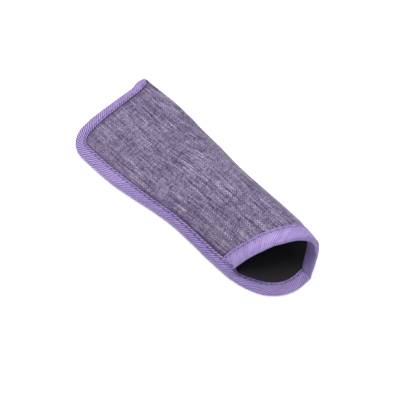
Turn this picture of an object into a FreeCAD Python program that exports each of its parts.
import FreeCAD, Part
import math, os
from FreeCAD import Vector

os.makedirs("parts", exist_ok=True)

# Soft slip-in pouch for glasses, millimetres. +Z up, the pouch rests on z = 0.
# The closed end is at +Y, the mouth opens towards -Y, the fold is at +X and the sewn,
# bound side at -X. The flat back panel lies below, the arched front panel above it.
# s is the distance from the closed end, so y = LENGTH / 2 - s.
# c is the column across the folded sheet: 0 seam, 1 crown, 2 bottom of the fold, 3 X_JOIN.

# ---- layers and panels -------------------------------------------------------
LENGTH = 190.0           # closed end to tip of the back tongue
BASE = 0.70              # height of the back panel's outer face over the table
T_FABRIC = 0.45          # woven outer fabric
T_FOAM = 1.48            # foam padding
T_LINING = 0.28          # lining
GAP = 0.02               # clearance between neighbouring layers
T_PANEL = T_FABRIC + T_FOAM + T_LINING + 2 * GAP
SEAM_TOP = BASE + 2 * T_PANEL + 0.09   # outer face of the front panel at the seam
X_JOIN = 3.0             # where the folded sheet meets the flat back panel
CLOSED_S = 0.65          # s of the tape's outer edge along the closed end

# ---- binding tapes -----------------------------------------------------------
TAPE = 0.68              # thickness of the binding tape
TAPE_GAP = 0.08          # clearance between the layers and the inside of a tape
RAW_INSET = 0.8          # raw edge of the panel inside the outer edge of the tape
SHEET_START = CLOSED_S + RAW_INSET     # raw edge of the folded sheet at the closed end
CLOSED_TAPE_W = 7.6      # perimeter tape, upper leg, on the +X half of the closed end
LOWER_LEG_W = 7.0        # perimeter tape, lower leg
TAPE_SIDE = 0.62         # inside of the perimeter tape from its outer edge
TAPE_LOW_Z = -0.12       # underside of the perimeter tape before it is cut flat at z = 0
RIDE = 0.45              # lift of the perimeter tape over the end of the mouth tape
MAX_REST_X = 36.2        # the perimeter tape's support height is constant beyond this x
MOUTH_W_SEAM = 9.2       # mouth tape along s at the seam,
MOUTH_W_CROWN = 10.8     # at the crown
MOUTH_W_FOLD = MOUTH_W_SEAM - 1.4      # and at the bottom of the fold
MOUTH_LEG_CUT = 1.0      # the inner leg of the mouth tape is shorter by this
MOUTH_REACH = 0.30       # inside of the mouth tape beyond the raw edge

# ---- crown strip that flexes at the mouth ------------------------------------
HINGE_S = 52.0           # flex line
FLAP_X0, FLAP_X1 = -13.0, 13.5         # sides of the strip
SLIT = 0.15              # half of the gap at the sides
HINGE_SLIT = 0.3         # half of the gap at the flex line

# ---- stitching ---------------------------------------------------------------
STITCH_PITCH = 4.0
STITCH_LEN = 2.0
STITCH_D = 0.36
STITCH_LIFT = 0.05       # clearance between a stitch and the tape
PERIMETER_STITCH_INSET = 1.25          # from the tape's inner edge
MOUTH_STITCH_INSET = 1.3
NO_STITCH_S = (145.0, 165.0)           # no perimeter stitches here on the seam side
MOUTH_STITCH_MIN_Z = 17.0              # lowest mouth stitch on the crown and the fold

# ---- measured tables ---------------------------------------------------------
# outside of the binding, (x, s), from the fold corner of the closed end round the
# seam side to the tip of the tongue
OUTLINE = [
    (38.25, 0.55), (35.5, 0.0), (32.0, 0.05), (27.5, 0.4), (22, 0.6), (14, 0.65), (4, 0.65),
    (-6, 0.65), (-13, 0.75), (-18.7, 1.2), (-24.0, 2.2), (-28.4, 3.9), (-32.0, 6.2),
    (-34.8, 9.1), (-37.0, 13.2), (-37.9, 17.2), (-38.2, 23), (-38.2, 33), (-38.0, 42),
    (-37.6, 50), (-36.8, 57), (-35.5, 65.5), (-34.1, 74), (-32.7, 82), (-31.5, 91),
    (-30.7, 99), (-30.5, 107), (-30.7, 118), (-31.1, 128), (-31.3, 137), (-31.3, 145),
    (-31.2, 150.5), (-30.8, 155), (-30.1, 159.5), (-29.2, 163.5), (-28.0, 167.5),
    (-26.4, 171.8), (-24.3, 175.9), (-21.0, 180.3), (-16.7, 184.3), (-11.2, 187.6),
    (-4.5, 189.6), (1.0, 190.0), (5.4, 190.0)]
# (s, x) of the seam side
SEAM = [(18, -37.6), (25, -38.2)] + [(s, x) for x, s in OUTLINE if 30 < s < 160 and x < 0]
SEAM_START = 18.0        # the seam is straight from the closed end to here
# (s, z) of the crown
HEIGHT = [
    (0, SEAM_TOP + 0.06), (5, 6.1), (10, 7.1), (20, 8.2), (45, 8.7), (60, 11), (75, 16),
    (90, 22), (105, 27.5), (120, 31), (135, 32.5), (150, 33.2), (165, 33.5), (192, 33.5)]
# (s, x) of the outside of the fold
FOLD = [
    (0, 37.4), (30, 37.5), (50, 36.6), (60, 35.0), (75, 32.3), (90, 29.2), (105, 26.0),
    (120, 24.0), (135, 23.7), (150, 23.6), (165, 23.2), (180, 22.3), (192, 21.8)]
# (s, share of the round fold's width that is left where the mouth tape draws it in)
PULL = [(0, 1), (150, 1), (158, 0.985), (165, 0.95), (172, 0.89), (178, 0.83), (184, 0.77),
        (192, 0.72)]
# (s, degrees) slope of the front panel at the seam
SLOPE = [(0, 0), (8, 2), (40, 4), (60, 10), (80, 20), (100, 30), (120, 38), (150, 42),
         (192, 42)]
# raw edge of the folded sheet at the mouth, (fraction of the girth, s)
MOUTH = [
    (0.0, 151.0), (0.05, 152.6), (0.10, 154.2), (0.156, 156.4), (0.2, 158.5), (0.24, 160.4),
    (0.27, 161.9), (0.306, 163.6), (0.338, 165.2), (0.363, 166.6), (0.388, 168.2),
    (0.416, 169.7), (0.444, 171.3), (0.469, 172.8), (0.494, 174.2), (0.519, 175.5),
    (0.544, 176.7), (0.6, 179.0), (0.7, 181.8), (0.8, 183.7), (0.9, 186.0), (1.0, 189.2)]
MOUTH_GIRTH_S = 170.0    # the girth in MOUTH is taken on this section
# (s, width) of the perimeter tape's upper leg
TAPE_W = [(0, 7.6), (50, 7.6), (60, 7.0), (70, 6.2), (80, 5.4), (92, 5.1), (140, 5.1),
          (152, 5.3), (162, 6.4), (172, 7.6), (190, 8.0)]


# ---- curves ------------------------------------------------------------------
def lookup(table, x):
    """smooth curve through a table of (x, y) pairs"""
    last = len(table) - 1
    if x <= table[0][0]:
        return table[0][1]
    if x >= table[-1][0]:
        return table[-1][1]
    i = 0
    while x > table[i + 1][0]:
        i += 1

    def slope(k):
        before, after = table[max(k - 1, 0)], table[min(k + 1, last)]
        return (after[1] - before[1]) / (after[0] - before[0])
    width = table[i + 1][0] - table[i][0]
    t = (x - table[i][0]) / width
    return ((2 * t**3 - 3 * t**2 + 1) * table[i][1]
            + (t**3 - 2 * t**2 + t) * width * slope(i)
            + (-2 * t**3 + 3 * t**2) * table[i + 1][1]
            + (t**3 - t**2) * width * slope(i + 1))


def interval(values, value):
    """index of the interval of the rising values that holds value"""
    low, high = 0, len(values) - 1
    while high - low > 1:
        middle = (low + high) // 2
        if values[middle] <= value:
            low = middle
        else:
            high = middle
    return low


def clamp(value):
    return min(max(value, 0.0), 1.0)


def weighted(weights, points):
    """sum of the plane points times their weights"""
    return (sum(w * p[0] for w, p in zip(weights, points)),
            sum(w * p[1] for w, p in zip(weights, points)))


def bezier(poles, t):
    return weighted([(1 - t)**3, 3 * t * (1 - t)**2, 3 * t * t * (1 - t), t**3], poles)


def bezier_tangent(poles, t):
    steps = [(b[0] - a[0], b[1] - a[1]) for a, b in zip(poles, poles[1:])]
    return weighted([3 * (1 - t)**2, 6 * t * (1 - t), 3 * t * t], steps)


def place(plan, z):
    """3-D point over the plan point (x, s)"""
    return Vector(plan[0], LENGTH / 2 - plan[1], z)


# ---- shape of the folded sheet -----------------------------------------------
ARC_STEPS = 80


class Section:
    """outer face at s: a Bezier from the seam up to the crown, then the round fold"""

    def __init__(self, s):
        seam_x = lookup(SEAM, max(s, SEAM_START)) + RAW_INSET
        top = lookup(HEIGHT, s)
        self.radius = (top - BASE) / 2
        self.crown_x = lookup(FOLD, s) - self.radius
        self.fold_z = BASE + self.radius
        slope = math.radians(lookup(SLOPE, s))
        chord = math.hypot(self.crown_x - seam_x, top - SEAM_TOP)
        self.poles = [(seam_x, SEAM_TOP),
                      (seam_x + 0.36 * chord * math.cos(slope),
                       SEAM_TOP + 0.36 * chord * math.sin(slope)),
                      (self.crown_x - 0.5 * chord, top),
                      (self.crown_x, top)]
        self.points = [bezier(self.poles, i / ARC_STEPS) for i in range(ARC_STEPS + 1)]
        self.run = [0.0]               # length along the Bezier from the seam
        for a, b in zip(self.points, self.points[1:]):
            self.run.append(self.run[-1] + math.hypot(b[0] - a[0], b[1] - a[1]))
        self.arch = self.run[-1]
        self.girth = self.arch + math.pi * self.radius


SECTIONS = {}


def section(s):
    key = round(s, 4)
    if key not in SECTIONS:
        SECTIONS[key] = Section(s)
    return SECTIONS[key]


def panel(s, c):
    """outer face at s and column c: x, z and the outward normal"""
    sec = section(s)
    if c >= 2:
        return sec.crown_x + (X_JOIN - sec.crown_x) * (c - 2), BASE, 0.0, -1.0
    if c >= 1:
        angle = math.pi / 2 - math.pi * (c - 1)
        cos, sin = math.cos(angle), math.sin(angle)
        pull = lookup(PULL, s)
        norm = math.hypot(cos, pull * sin)
        return (sec.crown_x + pull * sec.radius * cos, sec.fold_z + sec.radius * sin,
                cos / norm, pull * sin / norm)
    run = sec.run
    length = c * sec.arch
    i = interval(run, length)
    t = (i + (length - run[i]) / (run[i + 1] - run[i])) / ARC_STEPS
    x, z = bezier(sec.poles, t)
    tx, tz = bezier_tangent(sec.poles, t)
    norm = math.hypot(tx, tz)
    return x, z, -tz / norm, tx / norm


def point(s, c, depth):
    """3-D point on the folded sheet, depth below its outer face"""
    x, z, nx, nz = panel(s, c)
    return place((x - nx * depth, s), z - nz * depth)


def mouth_s(c):
    """raw edge of the folded sheet at the mouth"""
    sec = section(MOUTH_GIRTH_S)
    fold_part = max(0.0, min(c, 2.0) - 1.0)
    length = min(c, 1.0) * sec.arch + fold_part * math.pi * sec.radius
    return lookup(MOUTH, length / sec.girth)


def column_at(s, girth_fraction):
    """column at a fraction of the girth from the seam"""
    sec = section(s)
    length = girth_fraction * sec.girth
    if length < sec.arch:
        return length / sec.arch
    return 1.0 + (length - sec.arch) / (math.pi * sec.radius)


def height_at(x, s):
    """outer face of the front panel over the plan point"""
    sec = section(s)
    points = sec.points
    if x <= points[0][0]:
        return SEAM_TOP + (x - points[0][0]) * math.tan(math.radians(lookup(SLOPE, s)))
    if x >= sec.crown_x:
        across = min(x - sec.crown_x, sec.radius * 0.75)
        return sec.fold_z + math.sqrt(sec.radius * sec.radius - across * across)
    i = interval([p[0] for p in points], x)
    t = (x - points[i][0]) / (points[i + 1][0] - points[i][0])
    return points[i][1] + t * (points[i + 1][1] - points[i][1])


# ---- outline of the tape -----------------------------------------------------
EDGE_STEP = 1.0          # spacing of the outline points


def outline_points():
    """evenly spaced (x, s) points along a spline through OUTLINE"""
    curve = Part.BSplineCurve()
    curve.interpolate([Vector(x, s, 0) for x, s in OUTLINE])
    edge = curve.toShape()
    count = int(round(edge.Length / EDGE_STEP))
    return [(p.x, p.y) for p in edge.discretize(Number=count + 1)]


EDGE = outline_points()


def inward_normal(i):
    before = EDGE[max(i - 3, 0)]
    after = EDGE[min(i + 3, len(EDGE) - 1)]
    dx, ds = after[0] - before[0], after[1] - before[1]
    norm = math.hypot(dx, ds)
    return ds / norm, -dx / norm


def inward(i, inset):
    """plan point inset from the outline at its point i"""
    nx, ns = inward_normal(i)
    return EDGE[i][0] + nx * inset, EDGE[i][1] + ns * inset


# ---- solids from grids of points ---------------------------------------------
def spline(points, params):
    curve = Part.BSplineCurve()
    curve.interpolate(Points=points, Parameters=params)
    return curve


def surface(grid, us, vs):
    """tensor-product spline surface, so that neighbouring patches share their edges"""
    along_v = [spline(row, vs) for row in grid]
    rows = [curve.getPoles() for curve in along_v]
    along_u = [spline(list(column), us) for column in zip(*rows)]
    poles = [list(row) for row in zip(*[curve.getPoles() for curve in along_u])]
    u, v = along_u[-1], along_v[-1]
    patch = Part.BSplineSurface()
    patch.buildFromPolesMultsKnots(poles, u.getMultiplicities(), v.getMultiplicities(),
                                   u.getKnots(), v.getKnots(), False, False,
                                   u.Degree, v.Degree)
    return patch


def loft_solid(outer, inner, us, vs, splits):
    """closed solid between two grids, in patches split along v, with ruled sides"""
    faces = []
    for first, last in zip(splits, splits[1:]):
        skins = [surface([row[first:last + 1] for row in grid], us, vs[first:last + 1])
                 for grid in (outer, inner)]
        faces += [skin.toShape() for skin in skins]
        u0, u1, v0, v1 = skins[0].bounds()
        sides = [[skin.uIso(u) for skin in skins] for u in (u0, u1)]
        if first == splits[0]:
            sides.append([skin.vIso(v0) for skin in skins])
        if last == splits[-1]:
            sides.append([skin.vIso(v1) for skin in skins])
        for a, b in sides:
            faces.append(Part.makeRuledSurface(a.toShape(), b.toShape(), 1))
    sewn = Part.makeCompound(faces)
    sewn.sewShape()
    solid = Part.makeSolid(sewn.Shells[0])
    if solid.Volume < 0:
        solid.reverse()
    if not solid.isValid():
        solid.fix(1e-4, 1e-4, 1e-3)
    return solid


def export(name, shape):
    if shape.ShapeType == "Compound" and len(shape.Solids) == 1:
        shape = shape.Solids[0]
    shape.exportStep("parts/%s.step" % name)


# ---- fabric, foam and lining -------------------------------------------------
N_ARCH, N_FOLD, N_FLAT = 20, 14, 3     # columns on each part of the sheet
COLUMNS = ([i / N_ARCH for i in range(N_ARCH + 1)]
           + [1 + i / N_FOLD for i in range(1, N_FOLD + 1)]
           + [2 + i / N_FLAT for i in range(1, N_FLAT + 1)])
COLUMN_SPLITS = [0, N_ARCH, N_ARCH + N_FOLD, N_ARCH + N_FOLD + N_FLAT]
# fractions of the length, closer together near the closed end
ROWS = [0.0, 0.012, 0.026, 0.045, 0.07, 0.1] + [0.1 + 0.9 * i / 34 for i in range(1, 35)]

# raw edge of the back panel in plan
RAW = [inward(i, RAW_INSET) for i in range(len(EDGE))]
RAW = [p for p in RAW if p[0] < X_JOIN - 1.5]
RAW = [(X_JOIN, SHEET_START)] + RAW[::3] + [(X_JOIN, mouth_s(2.0))]


def sheet(depth0, depth1):
    """layer of the folded sheet between two depths"""
    def grid(depth):
        return [[point(SHEET_START + v * (mouth_s(c) - SHEET_START), c, depth)
                 for c in COLUMNS] for v in ROWS]
    return loft_solid(grid(depth0), grid(depth1), ROWS, COLUMNS, COLUMN_SPLITS)


def prism(plan, corners, z, height):
    """prism over a spline through the plan points, closed by lines through the corners"""
    curve = Part.BSplineCurve()
    curve.interpolate([place(p, z) for p in plan])
    ends = [place(p, z) for p in [plan[-1]] + corners + [plan[0]]]
    lines = [Part.makeLine(a, b) for a, b in zip(ends, ends[1:])]
    return Part.Face(Part.Wire([curve.toShape()] + lines)).extrude(Vector(0, 0, height))


def back_plate(z0, z1):
    """layer of the flat back panel"""
    return prism(RAW, [], z0, z1 - z0)


def corner_cutter():
    """everything outside the rounded seam-side corner of the closed end"""
    plan = [p for p in RAW if p[0] < -5 and p[1] < 45]
    far_x, far_s = plan[-1][0] - 20, -20
    corners = [(far_x, plan[-1][1]), (far_x, far_s), (plan[0][0], far_s)]
    return prism(plan, corners, z=-5, height=30)


def box(x0, x1, s0, s1, z0, z1):
    return Part.makeBox(x1 - x0, s1 - s0, z1 - z0, Vector(x0, LENGTH / 2 - s1, z0))


def flap_box(slits):
    """space of the crown strip, widened by a number of half slits"""
    x0, x1 = FLAP_X0 - slits * SLIT, FLAP_X1 + slits * SLIT
    hinge_part = box(x0, x1, HINGE_S - slits * HINGE_SLIT, 112, 5.0, 60)
    mouth_part = box(x0, x1, 108, 200, 12.0, 60)
    return hinge_part.fuse(mouth_part)


CORNER = corner_cutter()
FLAP_OUT = flap_box(1)
FLAP_IN = flap_box(-1)


def layer(depth0, depth1, body_name, flap_name):
    front = sheet(depth0, depth1).cut(CORNER)
    flap = front.common(FLAP_IN)
    rest = front.cut(FLAP_OUT)
    export(body_name, rest.fuse(back_plate(BASE + depth0, BASE + depth1)))
    export(flap_name, flap)


depth = 0.0
for thickness, body_name, flap_name in [
        (T_FABRIC, "outer_fabric", "mouth_flap_fabric"),
        (T_FOAM, "foam_padding", "mouth_flap_foam"),
        (T_LINING, "lining", "mouth_flap_lining")]:
    layer(depth, depth + thickness, body_name, flap_name)
    depth += thickness + GAP

# ---- mouth binding -----------------------------------------------------------
MOUTH_C0 = column_at(152.0, 0.072)     # starts beside the perimeter tape
MOUTH_C1 = 2.0 - 0.004                 # ends at the bottom of the fold


def mouth_width(c):
    if c > 1:
        return MOUTH_W_CROWN + (MOUTH_W_FOLD - MOUTH_W_CROWN) * (c - 1)
    return MOUTH_W_SEAM + (MOUTH_W_CROWN - MOUTH_W_SEAM) * c


def mouth_profile(c, inside):
    """loop round the raw edge at column c, on the inside or the outside of the tape"""
    width = mouth_width(c)
    lift = TAPE_GAP if inside else GAP + TAPE
    reach = MOUTH_REACH if inside else MOUTH_REACH + TAPE
    half = T_PANEL / 2 + lift
    # (s past the raw edge, depth): outer leg, superellipse bend, inner leg
    profile = [(-width + width * i / 6, -lift) for i in range(7)]
    for i in range(1, 8):
        angle = math.pi / 2 - math.pi * i / 8
        sin = math.sin(angle)
        profile.append((reach * abs(math.cos(angle))**0.8,
                        T_PANEL / 2 - half * math.copysign(abs(sin)**0.8, sin)))
    profile += [(-(width - MOUTH_LEG_CUT) * i / 6, T_PANEL + lift) for i in range(7)]
    edge_s = mouth_s(c)
    return [point(edge_s + ds, c, depth) for ds, depth in profile]


def mouth_binding():
    columns = [MOUTH_C0 + (MOUTH_C1 - MOUTH_C0) * i / 44 for i in range(45)]
    outer, inner = [[mouth_profile(c, inside) for c in columns] for inside in (False, True)]
    tape = loft_solid(outer, inner, columns, [float(k) for k in range(21)], [0, 6, 14, 20])
    flap = tape.common(FLAP_IN)
    rest = tape.cut(FLAP_OUT)
    pieces = sorted(rest.Solids, key=lambda solid: solid.CenterOfMass.x)
    export("mouth_binding_seam_side", pieces[0])
    export("mouth_binding_fold_side", pieces[-1])
    export("mouth_flap_binding", flap)


mouth_binding()


# ---- perimeter binding -------------------------------------------------------
def tape_rest(i, inset):
    """height under the upper leg: the front panel, then the back panel on the tongue"""
    x, s = inward(i, inset)
    front = height_at(min(x, MAX_REST_X), max(s, 0.0))
    back = BASE + T_PANEL
    blend = clamp((EDGE[i][1] - 153.0) / 5.0)
    blend = blend * blend * (3 - 2 * blend)
    return front * (1 - blend) + back * blend


def tape_point(i, inset, up):
    """point up above the supporting surface, along its normal"""
    x, s = inward(i, inset)
    nx, ns = inward_normal(i)
    near, far = max(inset - 0.6, 0.2), inset + 0.6
    grade = (tape_rest(i, far) - tape_rest(i, near)) / (far - near)
    norm = math.hypot(1, grade)
    shift = grade / norm * up
    return place((x - nx * shift, s - ns * shift), tape_rest(i, inset) + up / norm)


def tape_lift(i, inside):
    """lift over the supporting surface; the tape rides over the end of the mouth tape"""
    x, s = EDGE[i]
    lift = TAPE_GAP if inside else GAP + TAPE
    if x < 0:
        lift += clamp((s - 138.5) / 3.5) * clamp((170.0 - s) / 8.0) * RIDE
    return lift


def tape_width(i):
    x, s = EDGE[i]
    return CLOSED_TAPE_W if x > 0 and s < 50 else lookup(TAPE_W, s)


def perimeter_profile(i, inside):
    """upper leg, side and lower leg of the tape at outline point i"""
    width = tape_width(i)
    lift = tape_lift(i, inside)
    profile = [tape_point(i, RAW_INSET + (width - RAW_INSET) * (1 - k / 5), lift)
               for k in range(6)]
    top_z = profile[-1].z
    low_z = BASE - GAP if inside else TAPE_LOW_Z
    height = top_z - low_z
    side = TAPE_SIDE if inside else 0.0
    shoulder = side + (RAW_INSET - side) * 0.42
    profile += [place(inward(i, shoulder), top_z - height * 0.12),
                place(inward(i, side), top_z - height * 0.33),
                place(inward(i, side), low_z + height * 0.30),
                place(inward(i, shoulder), low_z + height * 0.09)]
    profile += [place(inward(i, RAW_INSET + (LOWER_LEG_W - RAW_INSET) * k / 5), low_z)
                for k in range(6)]
    return profile


def perimeter_binding():
    stations = list(range(0, len(EDGE), 3))
    stations[-1] = len(EDGE) - 1
    outer, inner = [[perimeter_profile(i, inside) for i in stations]
                    for inside in (False, True)]
    tape = loft_solid(outer, inner, [float(i) for i in stations],
                      [float(k) for k in range(16)], [0, 5, 10, 15])
    below_table = Part.makeBox(300, 300, 5, Vector(-150, -150, -5))
    export("perimeter_binding", tape.cut(below_table))


perimeter_binding()


# ---- stitching ---------------------------------------------------------------
def stitch(start, end, above):
    """short round bar from start to end on the tape; above lies over start"""
    up = above - start
    up.normalize()
    along = end - start
    radius = STITCH_D / 2
    return Part.makeCylinder(radius, along.Length, start + up * (radius + STITCH_LIFT), along)


def perimeter_stitching():
    bars = []
    length = int(round(STITCH_LEN / EDGE_STEP))
    for i in range(3, len(EDGE) - 3, int(round(STITCH_PITCH / EDGE_STEP))):
        x, s = EDGE[i]
        if x < 0 and NO_STITCH_S[0] < s < NO_STITCH_S[1]:
            continue
        inset = tape_width(i) - PERIMETER_STITCH_INSET
        lift = tape_lift(i, False)
        bars.append(stitch(tape_point(i, inset, lift),
                           tape_point(i + length, inset, tape_lift(i + length, False)),
                           tape_point(i, inset, lift + 0.5)))
    export("perimeter_stitching", Part.makeCompound(bars))


def mouth_stitch_point(c, lift):
    """point on the stitch line of the mouth tape, lift above the tape"""
    s = mouth_s(c) - mouth_width(c) + MOUTH_STITCH_INSET
    return point(s, c, -(GAP + TAPE + lift))


def advance(c, step, distance):
    """grow step until the stitch line has moved by distance from column c"""
    start = mouth_stitch_point(c, 0.0)
    while (mouth_stitch_point(c + step, 0.0) - start).Length < distance:
        step += 0.002
    return step


def mouth_stitches(x_min, x_max, z_min):
    """mouth tape stitches that lie between two x values and above z_min"""
    bars = []
    c = MOUTH_C0 + 0.02
    while c < MOUTH_C1 - 0.02:
        step = advance(c, 0.004, STITCH_LEN)
        start = mouth_stitch_point(c, 0.0)
        end = mouth_stitch_point(c + step, 0.0)
        inside_x = x_min < min(start.x, end.x) and max(start.x, end.x) < x_max
        if inside_x and (start.z + end.z) / 2 > z_min:
            bars.append(stitch(start, end, mouth_stitch_point(c, 0.5)))
        c += advance(c, step, STITCH_PITCH)
    return bars


def mouth_stitching():
    margin = SLIT + 0.1
    flap = mouth_stitches(FLAP_X0 + margin, FLAP_X1 - margin, MOUTH_STITCH_MIN_Z)
    seam_side = mouth_stitches(-40, FLAP_X0 - margin, 0.0)
    fold_side = mouth_stitches(FLAP_X1 + margin, 60, MOUTH_STITCH_MIN_Z)
    export("mouth_flap_stitching", Part.makeCompound(flap))
    export("mouth_stitching", Part.makeCompound(seam_side + fold_side))


perimeter_stitching()
mouth_stitching()
